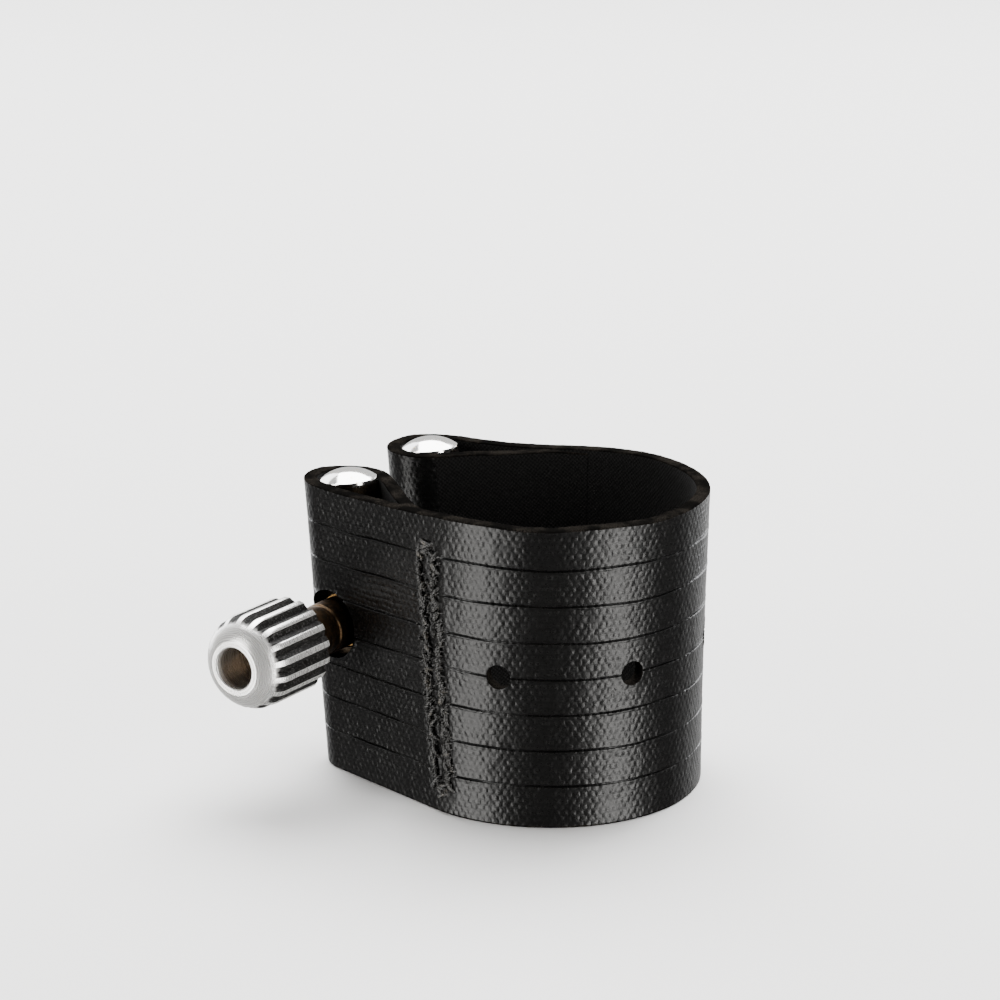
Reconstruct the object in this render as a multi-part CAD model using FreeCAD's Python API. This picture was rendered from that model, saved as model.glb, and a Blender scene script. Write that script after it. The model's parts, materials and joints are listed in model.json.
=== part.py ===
import FreeCAD, Part

import math
import os

# Saxophone ligature: a fabric strap looped round two bars, drawn together by one thumbscrew.
# Millimetres. +Z runs up the mouthpiece towards its tip, and the mouthpiece's axis is X = Y = 0.
# The strap's bottom edge is at Z = 0, the bars and the reed are at -X, and the knob is at -Y.
# The model is symmetric about the XZ plane apart from the screw. The knob side is built at -Y,
# and mirrored for the tip side at +Y.

# ---------------------------------------------------------------- driving dimensions
BORE_R = 12.4            # inside radius of the closed strap, on an alto mouthpiece with its reed
STRAP_T = 1.2            # strap thickness
STRAP_H = 26.4           # strap width, measured along the mouthpiece

BAR_R = 2.6              # radius of both bars
BAR_Y = 6.3              # distance of each bar's axis from the XZ plane
BAR_X0 = -15.05          # X of the bar axes at Z = 0
BAR_LEAN = 0.084         # the bars lean outwards by this much X for each unit of Z
BAR_Z = (0.95, 26.0)     # heights of the rims of a bar's domed ends
BAR_DOME = 0.8           # height of the dome on each end
POCKET_GAP = 0.05        # radial clearance of a bar in its loop

BEND_DEG = 16.0          # angle of the bending line from +X
BEND_GAP = 0.3           # width of the cut at a bending line

SCREW_Z = 13.6           # height of the screw axis
THREAD_R = 1.75          # outside radius of the thread
THREAD_PITCH = 25.4 / 32
THREAD_DEPTH = 0.45
RUN_GAP = 0.05           # radial clearance of a turning shaft
TIP_Y = 10.8             # end of the rod, just past the loop at the tip side

SHOULDER_R = 2.3
SEAT_Y = -8.4            # flat on the plain bar that takes the thrust
WASHER_T = 0.35
WASHER_R = 2.45
FACE_GAP = 0.03          # axial clearance between washer and shoulder

KNOB_R = 4.2
KNOB_Y = (-16.0, -24.3)  # rear and front faces of the knob
KNOB_DOME_Y = -21.3      # the cylinder ends and the dome starts here
KNOB_RING_R = 2.35       # flat ring round the bore at the front
KNOB_BORE_R = 1.83
KNOB_BORE_Y = -19.4      # bottom of the blind bore
KNOB_SOCKET_Y = -18.8    # bottom of the socket that the rod is pressed into
STUB_R = 1.65
FLUTES = 17
FLUTE_DEPTH = 0.5
FLUTE_HALF_WIDTH = 0.54

SCORES = 7               # fine scored lines round the strap
SCORE_Z0 = 3.7
SCORE_PITCH = 3.2
SCORE_WIDTH = 0.22
SCORE_DEPTH = 0.16

VENT_R = 1.08            # small punched holes in the band
VENT_Z = 13.4
VENT_DEG = (26.5, 76.0)
SCREW_HOLE_R = 3.1       # punched hole that the shoulder passes through
SCREW_HOLE_SHIFT = -0.25
ROD_HOLE_R = 2.35        # punched holes that only the rod passes through

SEAM_Z = (2.2, 23.4)     # ends of the seam
SEAM_S = (-1.1, 1.25)    # seam centre's distance from the tangent point, at those ends
SEAM_ROW = 0.75          # each row's distance from the seam centre
STITCHES = 14            # stitches in a row
STITCH_R = 0.24
STITCH_FILL = 0.78       # share of the stitch spacing that a stitch covers
TACK_LENGTH = 2.5
TACKS = 3                # threads in each end tack
TACK_STEP = 0.5

# ---------------------------------------------------------------- derived sizes
OUTER_R = BORE_R + STRAP_T
POCKET_R = BAR_R + POCKET_GAP
LOOP_R = POCKET_R + STRAP_T
LEAN_DEG = math.degrees(math.atan(BAR_LEAN))
SCREW_X = BAR_X0 - BAR_LEAN * SCREW_Z
Y_AXIS = FreeCAD.Vector(0, 1, 0)
Z_AXIS = FreeCAD.Vector(0, 0, 1)


def bar_x(z):
    """X of the bar axes at height z."""
    return BAR_X0 - BAR_LEAN * z


def polar(radius, degrees, z=0.0, centre=(0.0, 0.0)):
    angle = math.radians(degrees)
    return FreeCAD.Vector(centre[0] + radius * math.cos(angle), centre[1] + radius * math.sin(angle), z)


def arc(radius, start, end, z, centre=(0.0, 0.0)):
    """Edge along a circle at height z, from the angle start to the angle end, in degrees."""
    ends = [polar(radius, a, z, centre) for a in (start, (start + end) / 2, end)]
    return Part.Arc(*ends).toShape()


def line(a, b):
    return Part.LineSegment(a, b).toShape()


def tangent_angles(z):
    """Directions, in degrees, of the normals of a loop's two straight walls at height z.

    The outer wall is tangent to the band and the loop on the same side. The inner wall passes
    between the mouthpiece and the bar, so it is tangent to them on opposite sides.
    """
    x = bar_x(z)
    distance = math.hypot(x, BAR_Y)
    heading = math.degrees(math.atan2(-BAR_Y, x))
    outer = heading + math.degrees(math.acos((OUTER_R - LOOP_R) / distance))
    inner = heading + math.degrees(math.acos((BORE_R + LOOP_R) / distance))
    return outer, inner


# ---------------------------------------------------------------- strap, knob side
def side_outline(z, inset=0.0):
    """Outside outline of the knob side of the strap. The bore is cut from it later."""
    outer, inner = tangent_angles(z)
    band_r = OUTER_R - inset
    loop_r = LOOP_R - inset
    bar = (bar_x(z), -BAR_Y)
    start = polar(band_r, -BEND_DEG, z)
    band_end = polar(band_r, outer, z)
    loop_start = polar(loop_r, outer, z, bar)
    loop_end = polar(loop_r, inner - 180, z, bar)
    touch = polar(BORE_R, inner, z)
    core = polar(BORE_R / 2, -BEND_DEG, z)
    edges = [
        arc(band_r, -BEND_DEG, outer, z),
        line(band_end, loop_start),
        arc(loop_r, outer, inner - 180, z, bar),
        line(loop_end, touch),
        line(touch, core),
        line(core, start),
    ]
    return Part.Wire(edges)


def void_outline(z):
    """Outline of the open wedge between the bar and the seam."""
    outer, inner = tangent_angles(z)
    bar = (bar_x(z), -BAR_Y)
    feather = math.degrees(math.acos(BORE_R / OUTER_R))
    corner = polar(OUTER_R, outer - feather, z)
    near_bar = polar(POCKET_R, outer, z, bar)
    inner_bar = polar(POCKET_R, inner - 180, z, bar)
    inner_end = polar(OUTER_R, inner, z)
    edges = [
        line(near_bar, corner),
        arc(OUTER_R, outer - feather, inner, z),
        line(inner_end, inner_bar),
        line(inner_bar, near_bar),
    ]
    return Part.Wire(edges)


def ruled(outline, z_low, z_high, *extra):
    """Solid between the same outline at two heights."""
    return Part.makeLoft([outline(z_low, *extra), outline(z_high, *extra)], True, True)


def leaned(shape):
    """Place a shape made along +Z on the axis of the bar at the knob side."""
    placed = shape.copy()
    placed.rotate(FreeCAD.Vector(0, 0, 0), Y_AXIS, -LEAN_DEG)
    placed.translate(FreeCAD.Vector(BAR_X0, -BAR_Y, 0))
    return placed


def along_y(radius, y_low, y_high, x=SCREW_X, z=SCREW_Z):
    return Part.makeCylinder(radius, y_high - y_low, FreeCAD.Vector(x, y_low, z), Y_AXIS)


def vent(degrees):
    """Cutter for a small punched hole through the band."""
    direction = polar(1.0, degrees)
    start = polar(BORE_R - STRAP_T / 2, degrees, VENT_Z)
    return Part.makeCylinder(VENT_R, 2 * STRAP_T, start, direction)


def score_slabs():
    """Thin flat slabs at the heights of the scored lines."""
    reach = 2 * OUTER_R
    for i in range(SCORES):
        z = SCORE_Z0 + i * SCORE_PITCH
        corner = FreeCAD.Vector(-reach, -reach, z - SCORE_WIDTH / 2)
        yield z, Part.makeBox(2 * reach, 2 * reach, SCORE_WIDTH, corner)


def make_strap_side(main_hole_r, main_shift):
    """Knob side of the strap, with a screw hole of the given radius in its outer wall."""
    margin = 1.0
    overrun = 0.1
    strap = ruled(side_outline, 0, STRAP_H)
    bore = Part.makeCylinder(BORE_R, STRAP_H + 2 * margin, FreeCAD.Vector(0, 0, -margin))
    pocket = leaned(Part.makeCylinder(POCKET_R, STRAP_H + 4 * margin, FreeCAD.Vector(0, 0, -2 * margin)))
    void = ruled(void_outline, -overrun, STRAP_H + overrun)
    strap = strap.cut(bore).cut(pocket).cut(void)

    corner = FreeCAD.Vector(BORE_R - STRAP_T, -BEND_GAP / 2, 0)
    bend_cut = Part.makeBox(4 * STRAP_T, BEND_GAP, STRAP_H, corner)
    bend_cut.rotate(FreeCAD.Vector(0, 0, 0), Z_AXIS, -BEND_DEG)
    cutters = [bend_cut]
    cutters += [vent(-degrees) for degrees in VENT_DEG]
    outside = -BAR_Y - LOOP_R - margin
    cutters.append(along_y(main_hole_r, outside, -BAR_Y - BAR_R / 2, SCREW_X + main_shift))
    cutters.append(along_y(ROD_HOLE_R, -BAR_Y, -BAR_Y + LOOP_R + margin))
    for cutter in cutters:
        strap = strap.cut(cutter)

    keep_inner = Part.makeBox(
        2 * OUTER_R, OUTER_R, STRAP_H, FreeCAD.Vector(-2 * OUTER_R, -BAR_Y, 0))
    for z, slab in score_slabs():
        inside = ruled(side_outline, z - SCORE_WIDTH, z + SCORE_WIDTH, SCORE_DEPTH)
        low = FreeCAD.Vector(0, 0, z - SCORE_WIDTH)
        core = Part.makeCylinder(BORE_R + STRAP_T / 2, SCORE_WIDTH * 2, low)
        strap = strap.cut(slab.cut(inside).cut(core).cut(keep_inner))
    return strap


def make_strap_back():
    """Part of the band between the two bending lines."""
    ring = Part.makeCylinder(OUTER_R, STRAP_H).cut(Part.makeCylinder(BORE_R, STRAP_H))
    for _, slab in score_slabs():
        ring = ring.cut(slab.cut(Part.makeCylinder(OUTER_R - SCORE_DEPTH, STRAP_H)))
    half_gap = math.degrees(BEND_GAP / 2 / BORE_R)
    half = BEND_DEG - half_gap
    far = 2 * OUTER_R
    corners = [FreeCAD.Vector(0, 0, 0), polar(far, -half), polar(far, half), FreeCAD.Vector(0, 0, 0)]
    wedge = Part.Face(Part.makePolygon(corners)).extrude(FreeCAD.Vector(0, 0, STRAP_H))
    return ring.common(wedge)


# ---------------------------------------------------------------- seam, knob side
def wall_point(s, z, lift):
    """Point on the outer wall: s past the tangent point towards the bar, lifted off the face."""
    outer, _ = tangent_angles(z)
    normal = polar(1.0, outer)
    if s >= 0:
        along = FreeCAD.Vector(normal.y, -normal.x, 0)
        return polar(OUTER_R + lift, outer, z) + along * s
    return polar(OUTER_R + lift, outer - math.degrees(s / OUTER_R), z)


def bore_point(s, z, sink):
    """Point just under the bore's face, behind the same place on the outer wall."""
    outer, _ = tangent_angles(z)
    return polar(BORE_R + sink, outer - math.degrees(s / OUTER_R), z)


def seam_s(z):
    """Seam centre's distance from the tangent point at height z."""
    share = (z - SEAM_Z[0]) / (SEAM_Z[1] - SEAM_Z[0])
    return SEAM_S[0] + share * (SEAM_S[1] - SEAM_S[0])


def stitch(a, b, radius):
    """One visible length of thread, rounded at its ends."""
    body = Part.makeCylinder(radius, (b - a).Length, a, b - a)
    rounded = body.fuse([Part.makeSphere(radius, a), Part.makeSphere(radius, b)])
    return rounded.removeSplitter()


def make_rows(point, lift, radius):
    """Two rows of stitches along the seam."""
    step = (SEAM_Z[1] - SEAM_Z[0]) / STITCHES
    solids = []
    for side in (-SEAM_ROW, SEAM_ROW):
        for i in range(STITCHES):
            low = SEAM_Z[0] + (i + (1 - STITCH_FILL) / 2) * step + radius
            high = SEAM_Z[0] + (i + (1 + STITCH_FILL) / 2) * step - radius
            a = point(seam_s(low) + side, low, lift)
            b = point(seam_s(high) + side, high, lift)
            solids.append(stitch(a, b, radius))
    return Part.makeCompound(solids)


def make_tacks():
    """Short bars of thread across both ends of the seam."""
    solids = []
    for end, way in ((SEAM_Z[0], -1), (SEAM_Z[1], 1)):
        for i in range(TACKS):
            z = end + way * (i + 0.6) * TACK_STEP
            half = TACK_LENGTH / 2 - STITCH_R
            a = wall_point(seam_s(z) - half, z, 0.0)
            b = wall_point(seam_s(z) + half, z, 0.0)
            solids.append(stitch(a, b, STITCH_R * 0.9))
    return Part.makeCompound(solids)


# ---------------------------------------------------------------- bars
def section_arc(*points):
    """Arc through three (x, z) points of the XZ plane."""
    return Part.Arc(*(FreeCAD.Vector(x, 0, z) for x, z in points)).toShape()


def make_bar():
    """Plain round bar with shallow domed ends, in place at the knob side."""
    z_low, z_high = (z / math.cos(math.radians(LEAN_DEG)) for z in BAR_Z)
    dome_r = (BAR_R ** 2 + BAR_DOME ** 2) / (2 * BAR_DOME)
    mid_r = BAR_R / 2
    mid_drop = dome_r - math.sqrt(dome_r ** 2 - mid_r ** 2)
    low, high = z_low - BAR_DOME, z_high + BAR_DOME
    edges = [
        section_arc((0, low), (mid_r, low + mid_drop), (BAR_R, z_low)),
        line(FreeCAD.Vector(BAR_R, 0, z_low), FreeCAD.Vector(BAR_R, 0, z_high)),
        section_arc((BAR_R, z_high), (mid_r, high - mid_drop), (0, high)),
        line(FreeCAD.Vector(0, 0, high), FreeCAD.Vector(0, 0, low)),
    ]
    return leaned(Part.Face(Part.Wire(edges)).revolve(FreeCAD.Vector(0, 0, 0), Z_AXIS, 360))


def make_plain_bar():
    bar = make_bar().cut(along_y(THREAD_R + RUN_GAP, -2 * BAR_Y, 0))
    seat = along_y(WASHER_R + FACE_GAP, SEAT_Y - BAR_R, SEAT_Y)
    return bar.cut(seat)


def thread_profile(root_r, crest_r, y_low, turns):
    """Zigzag points of a V thread's section, from y_low upwards, as (radius, y)."""
    points = []
    for i in range(turns):
        y = y_low + i * THREAD_PITCH
        points.append((root_r, y))
        points.append((crest_r, y + 0.44 * THREAD_PITCH))
        points.append((crest_r, y + 0.56 * THREAD_PITCH))
    points.append((root_r, y_low + turns * THREAD_PITCH))
    return points


def turned(profile):
    """Solid of revolution about the screw axis, from (radius, y) points."""
    points = [FreeCAD.Vector(SCREW_X + r, y, SCREW_Z) for r, y in profile]
    face = Part.Face(Part.makePolygon(points + [points[0]]))
    return face.revolve(FreeCAD.Vector(SCREW_X, 0, SCREW_Z), Y_AXIS, 360)


def make_threaded_bar():
    bar = mirrored(make_bar()).cut(along_y(THREAD_R + RUN_GAP, 0, 2 * BAR_Y))
    turns = 5
    low = BAR_Y - turns / 2 * THREAD_PITCH
    tap_r = THREAD_R + RUN_GAP
    profile = thread_profile(tap_r - RUN_GAP, tap_r + THREAD_DEPTH / 2, low, turns)
    tap = turned([(0, low)] + profile + [(0, low + turns * THREAD_PITCH)])
    return bar.cut(tap)


def mirrored(shape):
    """The same shape at the tip side."""
    return shape.mirror(FreeCAD.Vector(0, 0, 0), Y_AXIS)


# ---------------------------------------------------------------- thumbscrew
def make_rod():
    """Stud: stub in the knob, shoulder, plain journal in the bar, then thread to a chamfered tip."""
    shoulder_end = SEAT_Y - WASHER_T - FACE_GAP
    thread_start = -BAR_Y + BAR_R + 0.2
    tip_chamfer = 0.5
    turns = int((TIP_Y - tip_chamfer - thread_start) / THREAD_PITCH)
    root_r = THREAD_R - THREAD_DEPTH
    profile = [
        (0, KNOB_SOCKET_Y),
        (STUB_R, KNOB_SOCKET_Y),
        (STUB_R, KNOB_Y[0]),
        (SHOULDER_R, KNOB_Y[0]),
        (SHOULDER_R, shoulder_end - 0.2),
        (SHOULDER_R - 0.2, shoulder_end),
        (THREAD_R, shoulder_end),
        (THREAD_R, thread_start - 0.3),
    ]
    profile += thread_profile(root_r, THREAD_R, thread_start, turns)
    profile += [(root_r, TIP_Y - 0.2), (root_r - 0.2, TIP_Y), (0, TIP_Y)]
    return turned(profile)


def make_knob():
    """Fluted thumb knob, domed at the front, with a blind bore and a socket for the rod."""
    rear, front = KNOB_Y
    chamfer = 0.35
    lip = 0.15
    dome_mid = FreeCAD.Vector(SCREW_X + 3.74, -23.09, SCREW_Z)
    corner = FreeCAD.Vector(SCREW_X + KNOB_R, KNOB_DOME_Y, SCREW_Z)
    ring = FreeCAD.Vector(SCREW_X + KNOB_RING_R, front, SCREW_Z)
    flat = [(KNOB_BORE_R + lip, front), (KNOB_BORE_R, front + lip), (KNOB_BORE_R, KNOB_BORE_Y)]
    flat += [(0, KNOB_BORE_Y), (0, KNOB_SOCKET_Y), (STUB_R, KNOB_SOCKET_Y), (STUB_R, rear)]
    flat += [(KNOB_R - chamfer, rear), (KNOB_R, rear - chamfer)]
    points = [FreeCAD.Vector(SCREW_X + r, y, SCREW_Z) for r, y in flat]
    edges = [Part.Arc(corner, dome_mid, ring).toShape(), line(ring, points[0])]
    edges += [line(a, b) for a, b in zip(points, points[1:])]
    edges.append(line(points[-1], corner))
    knob = Part.Face(Part.Wire(edges)).revolve(FreeCAD.Vector(SCREW_X, 0, SCREW_Z), Y_AXIS, 360)

    root = KNOB_R - FLUTE_DEPTH
    top = KNOB_R + FLUTE_DEPTH
    half = 2 * FLUTE_HALF_WIDTH  # the V is twice as wide at twice its depth
    corners = [
        FreeCAD.Vector(SCREW_X + root, rear + 1, SCREW_Z),
        FreeCAD.Vector(SCREW_X + top, rear + 1, SCREW_Z - half),
        FreeCAD.Vector(SCREW_X + top, rear + 1, SCREW_Z + half),
    ]
    section = Part.Face(Part.makePolygon(corners + [corners[0]]))
    flute = section.extrude(FreeCAD.Vector(0, front - rear - 2, 0))
    for i in range(FLUTES):
        cutter = flute.copy()
        cutter.rotate(FreeCAD.Vector(SCREW_X, 0, SCREW_Z), Y_AXIS, i * 360 / FLUTES)
        knob = knob.cut(cutter)
    return knob


def make_washer():
    washer = along_y(WASHER_R, SEAT_Y - WASHER_T, SEAT_Y)
    return washer.cut(along_y(THREAD_R + RUN_GAP, 2 * SEAT_Y, 0))


# ---------------------------------------------------------------- the ligature
knob_side = make_strap_side(SCREW_HOLE_R, SCREW_HOLE_SHIFT)
tip_side = mirrored(make_strap_side(ROD_HOLE_R, 0.0))
rows = make_rows(wall_point, 0.0, STITCH_R)
tacks = make_tacks()
under = make_rows(bore_point, 0.26, 0.2)

nodes = {
    "strap_back": make_strap_back(),
    "strap_knob_side": knob_side,
    "strap_tip_side": tip_side,
    "plain_bar": make_plain_bar(),
    "threaded_bar": make_threaded_bar(),
    "screw_knob": make_knob(),
    "screw_rod": make_rod(),
    "screw_washer": make_washer(),
    "knob_seam_stitches": rows,
    "knob_seam_tacks": tacks,
    "knob_seam_under_thread": under,
    "tip_seam_stitches": mirrored(rows),
    "tip_seam_tacks": mirrored(tacks),
    "tip_seam_under_thread": mirrored(under),
}

os.makedirs("parts", exist_ok=True)
for name, shape in nodes.items():
    assert shape.isValid(), name
    print(f"{name:24s} solids {len(shape.Solids):3d}  volume {shape.Volume:9.3f}")
    shape.exportStep(f"parts/{name}.step")
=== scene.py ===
"""Looks of a saxophone ligature: a fabric strap looped round two bars, with one thumbscrew.

The strap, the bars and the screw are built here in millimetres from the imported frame's own sizes,
then scaled to metres. The knob side is at -Y, the tip side at +Y, and the bars are at -X.
"""

import json
import math
import random

import bmesh
import bpy
import numpy as np
from mathutils import Matrix, Vector, noise


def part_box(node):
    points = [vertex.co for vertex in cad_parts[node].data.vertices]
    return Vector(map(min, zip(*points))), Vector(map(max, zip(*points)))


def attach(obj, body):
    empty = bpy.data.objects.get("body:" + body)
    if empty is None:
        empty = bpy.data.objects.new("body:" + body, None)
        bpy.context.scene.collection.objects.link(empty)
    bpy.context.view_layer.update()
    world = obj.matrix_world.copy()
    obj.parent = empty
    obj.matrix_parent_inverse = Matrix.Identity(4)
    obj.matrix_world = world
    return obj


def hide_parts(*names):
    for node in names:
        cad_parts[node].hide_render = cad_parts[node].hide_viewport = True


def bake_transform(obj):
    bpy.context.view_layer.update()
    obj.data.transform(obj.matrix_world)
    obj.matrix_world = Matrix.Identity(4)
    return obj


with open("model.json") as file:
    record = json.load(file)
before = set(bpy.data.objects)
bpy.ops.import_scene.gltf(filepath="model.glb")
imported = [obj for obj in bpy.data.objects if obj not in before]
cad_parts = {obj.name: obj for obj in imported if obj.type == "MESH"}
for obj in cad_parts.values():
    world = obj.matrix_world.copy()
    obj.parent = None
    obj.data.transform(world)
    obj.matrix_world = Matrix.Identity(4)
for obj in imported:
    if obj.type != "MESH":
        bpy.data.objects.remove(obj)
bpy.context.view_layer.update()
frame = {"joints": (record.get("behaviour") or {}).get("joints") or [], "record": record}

MM = 0.001

# ---------------------------------------------------------------- sizes read from the frame, in mm
joints = {joint["name"]: joint for joint in frame["joints"]}
mounts = {mount["name"]: mount for mount in frame["record"]["mounts"]}


def mm(values):
    return np.array(values, float) / MM


def box_mm(node):
    low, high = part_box(node)
    return mm(low), mm(high)


BORE_R = mounts["mouthpiece_clamp"]["dims"]["r_mm"]
STRAP_H = box_mm("strap_back")[1][2]
OUTER_R = box_mm("strap_back")[1][0]
STRAP_T = OUTER_R - BORE_R
BAR_POS = mm(joints["plain_bar_turn"]["pos_m"])
BAR_AXIS = np.array(joints["plain_bar_turn"]["axis"], float)
BAR_SLOPE = BAR_AXIS[0] / BAR_AXIS[2]
BAR_Y = -BAR_POS[1]
BAR_LOW, BAR_HIGH = box_mm("threaded_bar")
BAR_R = (BAR_HIGH[1] - BAR_LOW[1]) / 2
LOOP_R = BAR_POS[0] + BAR_SLOPE * (STRAP_H - BAR_POS[2]) - box_mm("strap_knob_side")[0][0]
SCREW = mm(joints["screw_turn"]["pos_m"])
KNOB_LOW, KNOB_HIGH = box_mm("screw_knob")
KNOB_R = (KNOB_HIGH[2] - KNOB_LOW[2]) / 2
ROD_LOW, ROD_HIGH = box_mm("screw_rod")
SHOULDER_R = (ROD_HIGH[2] - ROD_LOW[2]) / 2
WASHER_LOW, WASHER_HIGH = box_mm("screw_washer")
WASHER_R = (WASHER_HIGH[2] - WASHER_LOW[2]) / 2
SEAM_LOW = box_mm("knob_seam_stitches")[0][2]
SEAM_HIGH = box_mm("knob_seam_stitches")[1][2]

# ---------------------------------------------------------------- sizes of the looks, in mm
THREAD_R = 1.75
THREAD_ROOT_R = 1.3
THREAD_PITCH = 25.4 / 32
FLUTES = 17
BAR_DOME = 0.8
KNOB_RING_R = 2.35
FLUTE_ROOT_R = KNOB_R - 0.5
FLUTE_HALF_WIDTH = 0.54
VENT_R = 1.08
VENT_Z = 13.4
VENT_DEG = (26.5, 76.0)
SCREW_HOLE_R = 3.1
SCREW_HOLE_SHIFT = -0.25
ROD_HOLE_R = 2.35
SCORES = 7
SCORE_Z0 = 3.7
SCORE_PITCH = 3.2
SCORE_DEPTH = 0.2
SCORE_HALF_WIDTH = 0.065
SCORE_LIP = 0.03
SEAM_S = (-1.1, 1.25)    # past the tangent point, at the seam's lower and upper end
SEAM_HALF = 1.35
SEAM_ROW = 0.75          # from the seam's centre to each column of stitches
STITCHES = 14
TUFTS = 340
TACKS = 4
TACK_STEP = 0.3
TACK_HALF = 1.35
FLAP_END_DEG = 5.0       # short of the tangent point
BAND_COLUMNS = 112
WALL_COLUMNS = 64
LOOP_COLUMNS = 72
INNER_WALL_COLUMNS = 26
FLAP_COLUMNS = 36
EDGE_R = 0.16            # rounding of the strap's cut edges
EDGE_STEPS = 5
ROW_STEP = 0.32
SCORE_ROWS = (0.045, 0.075, 0.11, 0.16, 0.22, 0.30)    # rows on both sides of a scored line
INNER_ROWS = 34
OUTER_FACE, CUT_EDGE, INNER_FACE = 0, 1, 2             # the strap's material slots
FRONT_RISE = 0.2         # top edge at the front, above its nominal height
LOOP_SAG = 0.35          # top edge at the loops, below it
WEAVE_U, WEAVE_V = 0.66, 0.54
WEAVE_BUMP = 0.03
THREAD_PLIES = 3         # of the sewing thread
THREAD_TWIST = 0.7       # pitch of its plies
HOLE_CLEAR = 0.05        # a hole's radius over its shaft's
KNOB_BORE_R = 1.83
KNOB_BORE_DEPTH = 4.9
KNOB_LIP = 0.16
FABRIC_DARK = (0.0018, 0.00175, 0.0017)
FABRIC_WORN = (0.005, 0.0048, 0.0045)
FABRIC_DUST = (0.016, 0.0145, 0.013)
BORE_OXIDE = (0.16, 0.105, 0.05)
# painted shade: near-black colour for the floors of the knob's flutes
FLUTE_PAINTED_SHADE = (0.005, 0.0047, 0.0044)

# ---------------------------------------------------------------- studio
CAMERA_PLACE = Vector((139.76, -218.54, 101.91)) * MM
CAMERA_AIM = Vector((-3.94, -2.02, 25.02)) * MM
CAMERA_AZIMUTH = math.atan2(CAMERA_PLACE.y, CAMERA_PLACE.x)
CAMERA_LENS, CAMERA_SENSOR = 111.95, 36.0
LIGHT_AIM = Vector((0, 0, 14 * MM))
WARM, COOL, NEUTRAL = (1.0, 0.985, 0.96), (0.97, 0.98, 1.0), (1, 1, 1)
LIGHTS = (
    # name, azimuth from the camera's own, elevation, distance, width, height, watts, colour
    ("left_strip", -57, -4, 0.6, 0.28, 0.9, 5.6, WARM),
    ("right_strip", 50, -4, 0.6, 0.19, 0.9, 5.6, WARM),
    ("overhead", 170, 66, 0.8, 0.8, 0.8, 26.0, NEUTRAL),
    ("back_left", 145, 15, 0.7, 0.3, 0.7, 3.0, COOL),
    ("back_right", -145, 15, 0.7, 0.3, 0.7, 3.0, COOL),
)
ROOM_BRIGHT, ROOM_DARK = 1.0, 0.03      # behind the object, and on the camera's side
ROOM_TINT = (1.0, 0.995, 0.985, 1)
BACKDROP = 1.6


def lerp(a, b, t):
    return a + (b - a) * t


def smoothstep(edge0, edge1, x):
    t = np.clip((x - edge0) / (edge1 - edge0), 0.0, 1.0)
    return t * t * (3 - 2 * t)


def bar_x(z):
    return BAR_POS[0] + BAR_SLOPE * (z - BAR_POS[2])


# ================================================================ strap
def tangent_angles(z):
    """Directions of the normals of a loop's outer and inner straight walls at height z."""
    x = bar_x(z)
    distance = np.hypot(x, BAR_Y)
    heading = np.arctan2(-BAR_Y, x)
    outer = heading + np.arccos((OUTER_R - LOOP_R) / distance)
    inner = heading + np.arccos(np.minimum((BORE_R + LOOP_R) / distance, 1.0))
    return outer, inner


def ring(radius, angle, centre_x=0.0, centre_y=0.0):
    return np.stack([centre_x + radius * np.cos(angle), centre_y + radius * np.sin(angle)], -1)


def band_stand_off(z, angle):
    """How far the closed band stands off its nominal radius: it opens a little towards the top."""
    share = z / STRAP_H
    return (0.38 * share ** 2 - 0.12) * smoothstep(math.radians(-100), math.radians(-60), angle)


def strap_path(z):
    """Outer face of one half in plan, before it is mirrored, at the heights z.

    Returns points, normals and the distance along the path.
    The path starts at the back, goes round the band, along the outer wall, round the bar, and
    back along the mouthpiece to the end of the flap. Arrays are columns by heights.
    """
    outer, inner = tangent_angles(z)
    bx = bar_x(z)
    by = np.full_like(z, -BAR_Y)
    n1 = ring(1.0, outer)
    n2 = ring(1.0, inner)
    points, normals = [], []

    def add(count, place, last=False):
        for t in np.linspace(0.0, 1.0, count, endpoint=last):
            p, n = place(t)
            points.append(p)
            normals.append(n)

    def band(t):
        angle = outer * t
        radius = OUTER_R + band_stand_off(z, angle)
        return ring(1.0, angle) * radius[:, None], ring(1.0, angle)

    def wall(t):
        start = n1 * OUTER_R
        end = np.stack([bx, by], -1) + n1 * LOOP_R
        return lerp(start, end, t), n1

    def loop(t):
        angle = lerp(outer, inner - math.pi, t)
        return ring(LOOP_R, angle, bx, by), ring(1.0, angle)

    def inner_wall(t):
        start = np.stack([bx, by], -1) - n2 * LOOP_R
        return lerp(start, n2 * BORE_R, t), -n2

    def flap(t):
        angle = lerp(inner, outer - math.radians(FLAP_END_DEG), t)
        return ring(BORE_R, angle), -ring(1.0, angle)

    add(BAND_COLUMNS, band)
    add(WALL_COLUMNS, wall)
    add(LOOP_COLUMNS, loop)
    add(INNER_WALL_COLUMNS, inner_wall)
    add(FLAP_COLUMNS, flap, last=True)
    points, normals = np.array(points), np.array(normals)
    steps = np.linalg.norm(np.diff(points, axis=0), axis=2)
    along = np.concatenate([np.zeros((1, len(z))), np.cumsum(steps, axis=0)])
    return points, normals, along


def flap_room(points, z):
    """Room between points on the bore and the inner face of the outer wall."""
    outer, _ = tangent_angles(z)
    return BORE_R - np.einsum("chk,hk->ch", points, ring(1.0, outer))


def score_rows():
    """Heights of the outer face's rows, close together at each scored line, and their score."""
    rows = []
    offsets = np.array([-o for o in SCORE_ROWS[::-1]] + [0.0] + list(SCORE_ROWS))
    last = EDGE_R
    for i in range(SCORES):
        mark = SCORE_Z0 + i * SCORE_PITCH
        low = mark + offsets[0]
        count = max(2, int(round((low - last) / ROW_STEP)))
        rows += [(z, -1, 0.0) for z in np.linspace(last, low, count, endpoint=False)]
        rows += [(mark + o, i, o) for o in offsets]
        last = mark + offsets[-1] + 0.2
    count = int(round((STRAP_H - EDGE_R - last) / ROW_STEP))
    rows += [(z, -1, 0.0) for z in np.linspace(last, STRAP_H - EDGE_R, count)]
    return rows


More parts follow.
